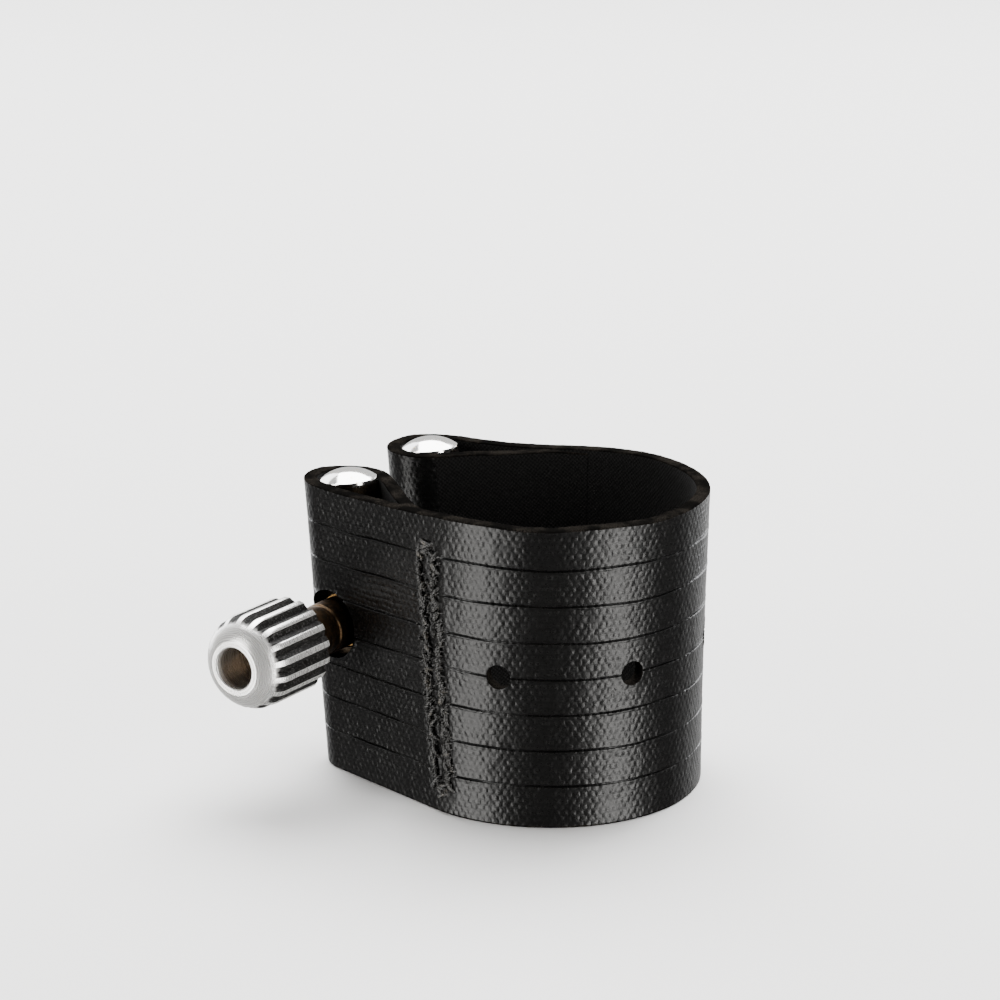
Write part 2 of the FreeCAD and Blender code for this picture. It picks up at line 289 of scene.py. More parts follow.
def seam_centre(z):
    """Seam centre's distance past the tangent point, towards the bar, at height z."""
    share = (z - SEAM_LOW) / (SEAM_HIGH - SEAM_LOW)
    return lerp(SEAM_S[0], SEAM_S[1], share)


def section_loop(outer_rows):
    """One closed loop round the strap's section: heights, shares of the thickness, and slots."""
    edge = [math.pi / 2 * i / EDGE_STEPS for i in range(1, EDGE_STEPS)]
    across = [0.22, 0.4, 0.6, 0.78]
    rise = [EDGE_R * math.sin(a) for a in edge]
    run = [EDGE_R * (1 - math.cos(a)) / STRAP_T for a in edge]
    up, down = list(zip(rise, run)), list(zip(rise[::-1], run[::-1]))
    top = STRAP_H - EDGE_R
    loop = [(row[0], 0.0, OUTER_FACE) for row in outer_rows]
    loop[-1] = (loop[-1][0], 0.0, CUT_EDGE)
    loop += [(top + r, d, CUT_EDGE) for r, d in up]
    loop += [(STRAP_H, d, CUT_EDGE) for d in across]
    loop += [(top + r, 1 - d, CUT_EDGE) for r, d in down]
    loop += [(z, 1.0, INNER_FACE) for z in np.linspace(top, EDGE_R, INNER_ROWS)]
    loop[-1] = (EDGE_R, 1.0, CUT_EDGE)
    loop += [(EDGE_R - r, 1 - d, CUT_EDGE) for r, d in up]
    loop += [(0.0, d, CUT_EDGE) for d in across[::-1]]
    loop += [(EDGE_R - r, d, CUT_EDGE) for r, d in down]
    return [np.array(values) for values in zip(*loop)]


def plane_noise(along, z, scale, seed, stretch=1.0):
    """Smooth noise over the strap's face, from about -1 to 1, at every column and row."""
    heights = np.broadcast_to(z, along.shape)
    return np.array([noise.noise(Vector((a / scale * stretch, b / scale, seed)))
                     for a, b in zip(along.ravel(), heights.ravel())]).reshape(along.shape)


def past_tangent(along, z):
    """Distance past the tangent point, towards the bar, of every column and row."""
    outer, _ = tangent_angles(z)
    return along + (outer * OUTER_R)[None, :]


def relief(along, points, z, depth, outer_rows, seed, holes):
    """Lift of the strap's face off its smooth shape: scored lines, the sunk seam, holes' rims."""
    s = past_tangent(along, z)
    from_seam = s - seam_centre(z)[None, :]
    off_seam = np.abs(from_seam)
    on_face = (depth < 0.01)[None, :]
    waves = 0.035 * plane_noise(along, z, 4.5, seed) + 0.014 * plane_noise(along, z, 1.3, seed + 7)

    offsets, marks = np.zeros(len(z)), np.full(len(z), -1)
    for i, (_, mark, offset) in enumerate(outer_rows):
        offsets[i], marks[i] = offset, mark
    groove = -SCORE_DEPTH * np.exp(-(offsets / SCORE_HALF_WIDTH) ** 4)
    lip = SCORE_LIP * np.exp(-((np.abs(offsets) - 0.16) / 0.06) ** 2)
    scored = np.where(marks >= 0, groove + lip, 0.0)[None, :]
    clear = smoothstep(SEAM_HALF, SEAM_HALF + 0.35, off_seam)
    up_to_bar = 1 - smoothstep(17.0, 21.0, s)
    uneven = np.clip(0.7 + 0.9 * plane_noise(along, marks * 5.0, 5.0, seed + 3), 0.15, 1.15)
    scored = scored * clear * up_to_bar * uneven

    sewn = smoothstep(SEAM_LOW - 1.2, SEAM_LOW - 0.3, z)
    sewn = sewn * (1 - smoothstep(SEAM_HIGH + 0.3, SEAM_HIGH + 1.2, z))
    trough = -0.10 * np.exp(-(from_seam / 0.32) ** 2)
    rows = -0.05 * np.exp(-((off_seam - SEAM_ROW) / 0.42) ** 2)
    pucker = 0.5 + 0.5 * plane_noise(along, z, 0.8, seed + 11, 0.5)
    ridge = 0.06 * np.exp(-((off_seam - 1.7) / 0.35) ** 2) * pucker
    torn = 0.06 * plane_noise(along, z, 0.42, seed + 13) * np.exp(-(off_seam / 1.3) ** 4)
    seam = (trough + rows + ridge + torn) * sewn[None, :]

    rims = np.zeros_like(along)
    for degrees in VENT_DEG:
        away = np.hypot(along - math.radians(degrees) * OUTER_R, (z - VENT_Z)[None, :])
        rims += 0.05 * np.exp(-((away - VENT_R - 0.16) / 0.14) ** 2)

    for (x, height, radius), at_hole in holes:
        away = np.hypot(points[..., 0] - x, (z - height)[None, :])
        rims += 0.09 * np.exp(-((away - radius - 0.16) / 0.15) ** 2) * at_hole(points[..., 1])

    on_edge = ((depth > 0.01) & (depth < 0.99))[None, :]
    rough_edge = 0.03 * plane_noise(along, z, 0.35, seed + 5) * on_edge
    lift = waves + (scored + seam + rims) * on_face + rough_edge
    return lift * smoothstep(0.0, 1.5, along[:, :1])


def height_shift(along, z, seed):
    """Shifts of the rows' heights: the scored lines wander, and the cut edges rise, dip and fray."""
    wander = 0.16 * plane_noise(along, z, 7.0, seed + 20)
    wander += 0.04 * plane_noise(along, z, 1.7, seed + 21)
    fibres = 0.035 * plane_noise(along, z, 0.28, seed + 22)
    share = (z / STRAP_H)[None, :]
    s = past_tangent(along, z)
    sag = FRONT_RISE - (FRONT_RISE + LOOP_SAG) * smoothstep(-4.0, 12.0, s)
    shift = wander * smoothstep(0.0, 1.5, z) + fibres * smoothstep(0.99, 1.0, share) + sag * share
    keep = smoothstep(0.0, 2.0, along)
    return shift * keep + FRONT_RISE * share * (1 - keep)


def strap_faces(along, z, kinds, side):
    """Faces of the strap's closed mesh, with each face's slot and each corner's place in the weave.

    The coated face that lies against the mouthpiece is rubbed dull, so it wears the lining's look.
    """
    columns, count = along.shape
    rubbed_from = columns - FLAP_COLUMNS - INNER_WALL_COLUMNS
    faces, slots, uvs = [], [], []

    def add(corners, slot):
        faces.append([c * count + r for c, r in corners])
        uvs.extend((along[corner], z[corner[1]]) for corner in corners)
        slots.append(slot)

    for c in range(columns - 1):
        for r in range(count):
            quad = [(c, r), (c + 1, r), (c + 1, (r + 1) % count), (c, (r + 1) % count)]
            rubbed = c >= rubbed_from and kinds[r] == OUTER_FACE
            add(quad[::-1] if side < 0 else quad, INNER_FACE if rubbed else int(kinds[r]))
    for c, order in ((0, -side), (columns - 1, side)):
        add([(c, r) for r in range(count)[::order]], CUT_EDGE)
    return faces, slots, uvs


def build_strap(name, side, seed, hole_r, hole_shift):
    """One half of the strap, from the middle of the back to the end of its flap, as a closed mesh."""
    outer_rows = score_rows()
    z, depth, kinds = section_loop(outer_rows)
    points, normals, along = strap_path(z)
    columns, count = along.shape
    in_flap = (np.arange(columns) >= columns - FLAP_COLUMNS)[:, None]
    thickness = np.where(in_flap, np.clip(flap_room(points, z) - 0.02, 0.03, STRAP_T), STRAP_T)
    holes = [((SCREW[0] + hole_shift, SCREW[2], hole_r), lambda y: y < -BAR_Y - 1),
             ((SCREW[0], SCREW[2], ROD_HOLE_R), lambda y: y > -BAR_Y + 1)]
    lift = relief(along, points, z, depth, outer_rows, seed, holes)
    lift = np.where(in_flap, np.minimum(lift, 0.0) * 0.2, lift)

    co = np.zeros((columns, count, 3))
    co[..., :2] = points - normals * (depth[None, :] * thickness - lift)[..., None]
    co[..., 1] *= -side
    co[..., 2] = z[None, :] + height_shift(along, z, seed)

    faces, slots, uvs = strap_faces(along, z, kinds, side)
    mesh = bpy.data.meshes.new(name)
    mesh.from_pydata((co.reshape(-1, 3) * MM).tolist(), [], faces)
    mesh.polygons.foreach_set("material_index", slots)
    layer = mesh.uv_layers.new(name="weave")
    layer.data.foreach_set("uv", np.array(uvs, float).ravel())
    mesh.update()
    ob = linked(bpy.data.objects.new(name, mesh))
    for material in FABRICS:
        mesh.materials.append(material)
    punch(ob, side, hole_r, hole_shift)
    return ob


def punch(ob, side, hole_r, hole_shift):
    """Cut the vents and the screw's two holes through one half of the strap."""
    x, z = SCREW[0], SCREW[2]
    cutters = []
    for degrees in VENT_DEG:
        angle = side * math.radians(degrees)
        way = Vector((math.cos(angle), math.sin(angle), 0))
        lift = Vector((0, 0, VENT_Z))
        near, far = way * (BORE_R - 1) + lift, way * (OUTER_R + 2) + lift
        cutters.append(rod_between(near, far, VENT_R, 40))
    outside, middle = side * (BAR_Y + LOOP_R + 1), side * BAR_Y
    inside = side * (BAR_Y - LOOP_R - 1)
    cutters.append(rod_between((x + hole_shift, outside, z), (x + hole_shift, middle, z), hole_r, 96))
    cutters.append(rod_between((x, middle + side * 0.01, z), (x, inside, z), ROD_HOLE_R, 64))
    for cutter in cutters:
        cut(ob, bm_object(cutter, "cutter"), wall_slot=CUT_EDGE)


# ================================================================ mesh helpers
def linked(ob):
    bpy.context.scene.collection.objects.link(ob)
    return ob


def bm_object(bm, name):
    mesh = bpy.data.meshes.new(name)
    bm.to_mesh(mesh)
    bm.free()
    return linked(bpy.data.objects.new(name, mesh))


def rod_between(a, b, radius, segments):
    """Closed cylinder between two points in mm, as a bmesh."""
    a, b = Vector(a) * MM, Vector(b) * MM
    bm = bmesh.new()
    bmesh.ops.create_cone(bm, cap_ends=True, segments=segments, radius1=radius * MM,
                          radius2=radius * MM, depth=(b - a).length)
    turn = (b - a).to_track_quat("Z", "Y").to_matrix().to_4x4()
    bmesh.ops.transform(bm, matrix=Matrix.Translation((a + b) / 2) @ turn, verts=bm.verts)
    return bm


def bake_modifiers(ob):
    """Replace the object's mesh with its modified one."""
    graph = bpy.context.evaluated_depsgraph_get()
    mesh = bpy.data.meshes.new_from_object(ob.evaluated_get(graph), preserve_all_data_layers=True,
                                           depsgraph=graph)
    ob.modifiers.clear()
    old = ob.data
    ob.data = mesh
    bpy.data.meshes.remove(old)


def cut(ob, cutter, wall_slot=0):
    """Cut the cutter's volume out of ob, and remove the cutter. New faces take the wall's slot."""
    for material in ob.data.materials:
        cutter.data.materials.append(material)
    cutter.data.polygons.foreach_set("material_index", [wall_slot] * len(cutter.data.polygons))
    modifier = ob.modifiers.new("holes", "BOOLEAN")
    modifier.operation = "DIFFERENCE"
    modifier.solver = "EXACT"
    modifier.object = cutter
    bpy.context.view_layer.update()
    bake_modifiers(ob)
    bpy.data.objects.remove(cutter)


def lathe(name, profile, segments, shape=None, closed=False):
    """Turn (radius, height) points in mm about +Z. shape(radius, height, angle) may change a radius."""
    bm = bmesh.new()
    rings = []
    for radius, height in profile:
        if radius < 1e-6:
            rings.append([bm.verts.new((0.0, 0.0, height * MM))])
            continue
        ring_of = []
        for i in range(segments):
            angle = 2 * math.pi * i / segments
            r = shape(radius, height, angle) if shape else radius
            spot = (r * math.cos(angle) * MM, r * math.sin(angle) * MM, height * MM)
            ring_of.append(bm.verts.new(spot))
        rings.append(ring_of)
    pairs = list(zip(rings, rings[1:])) + ([(rings[-1], rings[0])] if closed else [])
    for low, high in pairs:
        for i in range(segments):
            j = (i + 1) % segments
            if len(low) == 1 and len(high) > 1:
                bm.faces.new((low[0], high[j], high[i]))
            elif len(high) == 1 and len(low) > 1:
                bm.faces.new((low[i], low[j], high[0]))
            elif len(low) > 1:
                bm.faces.new((low[i], low[j], high[j], high[i]))
    bmesh.ops.recalc_face_normals(bm, faces=bm.faces)
    return bm_object(bm, name)


def rounded(points, radius):
    """Open (radius, height) profile with its inner corners rounded."""
    out = [points[0]]
    for before, corner, after in zip(points, points[1:], points[2:]):
        a, c, b = (np.array(p, float) for p in (before, corner, after))
        to_a, to_b = a - c, b - c
        reach = min(radius, 0.45 * np.linalg.norm(to_a), 0.45 * np.linalg.norm(to_b))
        p = c + to_a / np.linalg.norm(to_a) * reach
        q = c + to_b / np.linalg.norm(to_b) * reach
        for t in (0.0, 0.25, 0.5, 0.75, 1.0):
            out.append(tuple((1 - t) ** 2 * p + 2 * t * (1 - t) * c + t * t * q))
    out.append(points[-1])
    return out


def arc_through(start, middle, end, count):
    """Points after start, up to end, on the circle through three (radius, height) points."""
    (ax, ay), (bx, by), (cx, cy) = start, middle, end
    d = 2 * (ax * (by - cy) + bx * (cy - ay) + cx * (ay - by))
    aa, bb, cc = ax * ax + ay * ay, bx * bx + by * by, cx * cx + cy * cy
    x = (aa * (by - cy) + bb * (cy - ay) + cc * (ay - by)) / d
    y = (aa * (cx - bx) + bb * (ax - cx) + cc * (bx - ax)) / d
    first, last = math.atan2(ay - y, ax - x), math.atan2(cy - y, cx - x)
    radius = math.hypot(ax - x, ay - y)
    return [(x + radius * math.cos(a), y + radius * math.sin(a))
            for a in np.linspace(first, last, count + 1)[1:]]


def divided(points, step):
    """The same profile with long stretches divided."""
    out = [tuple(points[0])]
    for a, b in zip(points, points[1:]):
        a, b = np.array(a, float), np.array(b, float)
        count = max(1, int(np.linalg.norm(b - a) / step))
        out += [tuple(lerp(a, b, i / count)) for i in range(1, count + 1)]
    return out


def smooth(ob, degrees):
    """Shade a piece smooth, apart from edges sharper than an angle."""
    ob.data.shade_smooth()
    ob.data.set_sharp_from_angle(angle=math.radians(degrees))
    return ob


def paint(ob, *materials):
    ob.data.materials.clear()
    for material in materials:
        ob.data.materials.append(material)


def paint_keeping_faces(ob, *materials):
    """Give a mesh its materials without losing which face wears which."""
    wears = [face.material_index for face in ob.data.polygons]
    paint(ob, *materials)
    ob.data.polygons.foreach_set("material_index", [min(i, len(materials) - 1) for i in wears])


def to_screw(ob):
    """Turn a shape made along +Z onto the screw's axis, so that its height is Y."""
    turn = Matrix.Rotation(math.radians(-90), 4, "X")
    ob.data.transform(Matrix.Translation(Vector((SCREW[0], 0, SCREW[2])) * MM) @ turn)
    return ob


def to_bar(ob, side):
    """Lean a shape made along +Z, with height 0 at Z = 0, onto a bar's axis."""
    lean = Matrix.Rotation(math.atan(BAR_SLOPE), 4, "Y")
    foot = Vector((bar_x(0.0), side * BAR_Y, 0)) * MM
    ob.data.transform(Matrix.Translation(foot) @ lean)
    return ob


# ================================================================ thread
def frames_along(path):
    """Tangents and two side directions at each point of a path, without twist."""
    path = np.asarray(path, float)
    tangents = np.gradient(path, axis=0)
    tangents /= np.linalg.norm(tangents, axis=1)[:, None]
    side = np.cross(tangents[0], (0.3, 0.5, 0.8))
    sides = []
    for tangent in tangents:
        side = side - tangent * side.dot(tangent)
        side /= np.linalg.norm(side)
        sides.append(side)
    sides = np.array(sides)
    return tangents, sides, np.cross(tangents, sides)


def tube(bm, path, radii, sides=8):
    """Add a closed round tube along a path in mm."""
    _, a, b = frames_along(path)
    rings = []
    for point, side, up, radius in zip(path, a, b, radii):
        turn = [2 * math.pi * i / sides for i in range(sides)]
        spots = [point + radius * (side * math.cos(t) + up * math.sin(t)) for t in turn]
        rings.append([bm.verts.new(spot * MM) for spot in spots])
    for low, high in zip(rings, rings[1:]):
        for i in range(sides):
            j = (i + 1) % sides
            bm.faces.new((low[i], low[j], high[j], high[i]))
    bm.faces.new(rings[0][::-1])
    bm.faces.new(rings[-1])


def twisted_thread(bm, path, radius, phase):
    """Add a thread of plies twisted together along a path in mm."""
    path = np.asarray(path, float)
    _, a, b = frames_along(path)
    lengths = np.concatenate([[0], np.cumsum(np.linalg.norm(np.diff(path, axis=0), axis=1))])
    taper = np.sin(np.linspace(0.25, math.pi - 0.25, len(path))) ** 0.35
    for ply in range(THREAD_PLIES):
        turn = phase + 2 * math.pi * (ply / THREAD_PLIES + lengths / THREAD_TWIST)
        offset = a * np.cos(turn)[:, None] + b * np.sin(turn)[:, None]
        tube(bm, path + offset * (0.5 * radius * taper)[:, None], 0.56 * radius * taper, 7)


def wall_point(s, z, lift, side):
    """Point on a wing's outer face: s past the tangent point towards the bar, lifted off the face."""
    outer = float(tangent_angles(np.array([z]))[0][0])
    if s >= 0:
        normal = np.array([math.cos(outer), math.sin(outer)])
        point = normal * (OUTER_R + lift) + np.array([normal[1], -normal[0]]) * s
    else:
        angle = outer - s / OUTER_R
        point = np.array([math.cos(angle), math.sin(angle)]) * (OUTER_R + lift)
    return np.array([point[0], -side * point[1], z])


def bore_point(s, z, sink, side):
    """Point at the bore's face behind the same place on the outer face."""
    outer = float(tangent_angles(np.array([z]))[0][0])
    angle = outer - s / OUTER_R
    radius = BORE_R + sink
    return np.array([radius * math.cos(angle), -side * radius * math.sin(angle), z])


def seam_path(side, s0, z0, s1, z1, bulge, steps=11):
    """Thread lying on the seam between two needle holes, sunk at both ends."""
    path = []
    for t in np.linspace(-1, 1, steps):
        share = (t + 1) / 2
        lift = -0.22 + (bulge + 0.22) * (1 - abs(t) ** 2.6)
        path.append(wall_point(lerp(s0, s1, share), lerp(z0, z1, share), lift, side))
    return path


def make_stitches(name, side, seed):
    """Two ragged columns of short stitches, crossed and torn, as the sewn seam shows them."""
    rng = random.Random(seed)
    bm = bmesh.new()
    step = (SEAM_HIGH - SEAM_LOW) / STITCHES
    for column in (-1, 1):
        for i in range(STITCHES):
            for share, reach, size in ((0.25, 0.42, 0.24), (0.75, 0.36, 0.2)):
                z = SEAM_LOW + (i + share) * step + rng.uniform(-0.12, 0.12)
                s = seam_centre(z) + column * (SEAM_ROW + 0.08) + rng.uniform(-0.3, 0.3)
                lean = rng.uniform(0.0, 0.5) * (1 if rng.random() < 0.7 else -1)
                half = step * reach * rng.uniform(0.8, 1.25)
                path = seam_path(side, s - lean, z - half, s + lean, z + half, rng.uniform(0.12, 0.28))
                twisted_thread(bm, path, size * rng.uniform(0.8, 1.15), rng.uniform(0, 6))
    for _ in range(TUFTS):
        z = rng.uniform(SEAM_LOW, SEAM_HIGH)
        s = seam_centre(z) + rng.choice((-1, 1)) * rng.gauss(SEAM_ROW + 0.05, 0.36)
        heading = rng.uniform(0, math.pi)
        half = rng.uniform(0.12, 0.38)
        ds, dz = half * math.cos(heading), half * math.sin(heading)
        path = seam_path(side, s - ds, z - dz, s + ds, z + dz, rng.uniform(0.12, 0.36), 7)
        tube(bm, np.array(path), np.full(7, rng.uniform(0.035, 0.085)), 6)
    return smooth(bm_object(bm, name), 60)


def make_tacks(name, side, seed):
    """Short bars of thread across both ends of the seam, and the loose ends of the thread."""
    rng = random.Random(seed)
    bm = bmesh.new()
    for end, way in ((SEAM_LOW, -1), (SEAM_HIGH, 1)):
        for i in range(TACKS):
            z = end + way * (i * TACK_STEP - 0.2) + rng.uniform(-0.08, 0.08)
            middle = seam_centre(z) + rng.uniform(-0.25, 0.25)
            half = TACK_HALF * rng.uniform(0.45, 0.95)
            tilt = rng.uniform(-0.4, 0.4)
            bulge = rng.uniform(0.1, 0.25)
            path = seam_path(side, middle - half, z - tilt, middle + half, z + tilt, bulge, 15)
            twisted_thread(bm, path, rng.uniform(0.17, 0.24), rng.uniform(0, 6))
    for end in (SEAM_LOW, SEAM_HIGH):
        for _ in range(3):
            s0 = seam_centre(end) + rng.uniform(-0.9, 0.9)
            heading = rng.uniform(0, 2 * math.pi)
            length = rng.uniform(0.5, 1.1)
            path = []
            for t in np.linspace(0, 1, 9):
                s = s0 + math.cos(heading + t) * length * t
                z = end + math.sin(heading + t) * length * t * 0.6
                path.append(wall_point(s, z, 0.12 + 0.25 * math.sin(math.pi * t * 0.8), side))
            tube(bm, np.array(path), [0.05] * 9, 6)
    return smooth(bm_object(bm, name), 60)


def make_under_thread(name, side, seed):
    """The same seam's thread where it shows at the bore, lying almost flush in the fabric."""
    rng = random.Random(seed)
    bm = bmesh.new()
    step = (SEAM_HIGH - SEAM_LOW) / STITCHES
    for column in (-1, 1):
        for i in range(STITCHES):
            middle = SEAM_LOW + (i + 0.5) * step
            path = []
            for t in np.linspace(-1, 1, 11):
                z = middle + t * step * 0.46
                s = seam_centre(z) + column * SEAM_ROW + rng.uniform(-0.02, 0.02)
                path.append(bore_point(s, z, 0.16 + 0.25 * abs(t) ** 3, side))
            twisted_thread(bm, path, 0.17, rng.uniform(0, 6))
    return smooth(bm_object(bm, name), 60)


# ================================================================ metal
def make_bar(name, side, seated):
    """Round bar with domed, polished ends and a cross hole for the screw."""
    cos_lean = math.cos(math.atan(BAR_SLOPE))
    low, high = BAR_LOW[2] / cos_lean, BAR_HIGH[2] / cos_lean
    shoulders = low + BAR_DOME, high - BAR_DOME
    half = [((BAR_R - 0.1) * t, BAR_DOME * (1 - t ** 2.2)) for t in np.linspace(0, 1, 17)]
    profile = [(r, shoulders[0] - h) for r, h in half]
    profile += [(BAR_R - 0.035, shoulders[0] + 0.035), (BAR_R, shoulders[0] + 0.12)]
    profile += [(BAR_R, z) for z in np.linspace(low + 1.2, high - 1.2, 40)]
    profile += [(BAR_R, shoulders[1] - 0.12), (BAR_R - 0.035, shoulders[1] - 0.035)]
    profile += [(r, shoulders[1] + h) for r, h in reversed(half)]
    ob = lathe(name, profile, 128)
    to_bar(ob, side)
    x, z = SCREW[0], SCREW[2]
    across = side * (BAR_Y + BAR_R + 1)
    inside = side * (BAR_Y - BAR_R - 1)
    hole_r = THREAD_R + HOLE_CLEAR
    mouth_r, mouth_depth = hole_r + 0.3, 0.55
    parts = [rod_between((x, inside, z), (x, across, z), hole_r, 64)]
    for y, way in ((side * (BAR_Y - BAR_R), -1), (side * (BAR_Y + BAR_R), 1)):
        bm = bmesh.new()
        bmesh.ops.create_cone(bm, cap_ends=True, segments=64, radius1=hole_r * MM,
                              radius2=mouth_r * MM, depth=mouth_depth * MM)
        turn = Matrix.Rotation(math.radians(-90 * side * way), 4, "X")
        place = Matrix.Translation(Vector((x, y - side * way * 0.12, z)) * MM)
        bmesh.ops.transform(bm, matrix=place @ turn, verts=bm.verts)
        parts.append(bm)
    if seated:
        parts.append(rod_between((x, WASHER_HIGH[1], z), (x, across, z), WASHER_R + HOLE_CLEAR, 96))
    for part in parts:
        cut(ob, bm_object(part, "cutter"))
    # Faces near the ends take slot 1, the polished plating; the rest take slot 0, the sides painted
    # nearly black as painted shade.
    for face in ob.data.polygons:
        near_end = min(face.center.z / MM - low, high - face.center.z / MM) < BAR_DOME + 0.2
        face.material_index = int(near_end)
    return smooth(ob, 28)


def make_washer(name):
    """Flat ring, with its profile started half way along its lower face."""
    inner = THREAD_R + 0.06
    low, high = WASHER_LOW[1], WASHER_HIGH[1]
    start = ((inner + WASHER_R) / 2, low)
    corners = [(WASHER_R, low), (WASHER_R, high), (inner, high), (inner, low)]
    profile = rounded([start] + corners + [start], 0.07)
    ob = to_screw(lathe(name, profile[:-1], 96, closed=True))
    return smooth(ob, 50)


def make_stud(name):
    """Stub in the knob, shoulder with a ring groove, plain journal, then a real helical thread."""
    shoulder_low, shoulder_high = KNOB_HIGH[1], WASHER_LOW[1] - 0.02
    stub_low = ROD_LOW[1]
    tip = ROD_HIGH[1]
    thread_start = -BAR_Y + BAR_R + 0.2
    mid = lerp(shoulder_low, shoulder_high, 0.5)
    profile = rounded([
        (0, stub_low), (1.6, stub_low), (1.6, shoulder_low), (SHOULDER_R, shoulder_low),
        (SHOULDER_R, mid - 0.45), (SHOULDER_R - 0.12, mid - 0.3), (SHOULDER_R - 0.12, mid + 0.3),
        (SHOULDER_R, mid + 0.45), (SHOULDER_R, shoulder_high), (THREAD_R, shoulder_high),
        (THREAD_R, thread_start - 0.3)], 0.09)
    profile = divided(profile, 0.3)
    rows = int((tip - thread_start) / 0.055)
    profile += [(THREAD_R, y) for y in np.linspace(thread_start - 0.25, tip, rows)] + [(0.0, tip)]

    def thread(radius, y, angle):
        if y < thread_start - 0.26 or radius < THREAD_R - 1e-6:
            return radius
        phase = (y / THREAD_PITCH - angle / (2 * math.pi)) % 1.0
        slope = abs(phase - 0.5) * 2
        depth = (THREAD_R - THREAD_ROOT_R) * min(1.0, max(0.0, (slope - 0.14) / 0.74))
        run_in = min(1.0, max(0.0, (y - thread_start + 0.25) / 0.6))
        run_out = max(0.0, (y - tip + 0.55) / 0.55)
        return min(THREAD_R - depth * run_in, THREAD_R - 0.42 * run_out)

    ob = to_screw(lathe(name, profile, 72, thread))
    return smooth(ob, 40)


def make_knob(name):
    """Fluted knob: domed at the front round a blind bore, with V flutes along its side."""
    rear, front = KNOB_HIGH[1], KNOB_LOW[1]
    bore_end = front + KNOB_BORE_DEPTH
    on_dome = (KNOB_R - 0.46, front + 1.21)
    dome = arc_through((KNOB_R, front + 3.0), on_dome, (KNOB_RING_R, front), 44)
    side = [(KNOB_R - 0.35, rear), (KNOB_R - 0.1, rear - 0.13), (KNOB_R, rear - 0.38)]
    side += [(KNOB_R, y) for y in np.linspace(rear - 0.8, front + 3.2, 24)]
    mouth_r = KNOB_BORE_R + KNOB_LIP
    face = [(r, front + 0.006) for r in np.linspace(KNOB_RING_R - 0.06, mouth_r + 0.04, 4)]
    mouth = [(KNOB_BORE_R + KNOB_LIP * (1 - math.sin(a)), front + KNOB_LIP * (1 - math.cos(a)))
             for a in np.linspace(0, math.pi / 2, 7)]
    inside = [(KNOB_BORE_R, y) for y in np.linspace(front + 0.4, bore_end - 0.2, 14)]
    end = [(KNOB_BORE_R - 0.15, bore_end), (0.9, bore_end + 0.1), (0.0, bore_end + 0.35)]
    back = [(0.0, rear)] + [(r, rear) for r in np.linspace(1.0, KNOB_R - 0.55, 6)]
    profile = back + side + dome + face + mouth + inside + end
    fluted = {round(y, 6) for _, y in side + dome}

    def flute(radius, y, angle):
        if radius < FLUTE_ROOT_R - 0.3 or round(y, 6) not in fluted:
            return radius
        pitch = 2 * math.pi / FLUTES
        off = abs((angle + pitch / 2) % pitch - pitch / 2)
        slope = (KNOB_R - FLUTE_ROOT_R) / FLUTE_HALF_WIDTH
        floor = math.hypot(off * KNOB_R, 0.05) - 0.05
        valley = FLUTE_ROOT_R + slope * floor
        blend = 0.045
        low = min(radius, valley)
        gap = abs(radius - valley)
        return low - blend * math.exp(-gap / blend) * 0.5

    ob = to_screw(lathe(name, profile, FLUTES * 22, flute))
    return smooth(ob, 32)


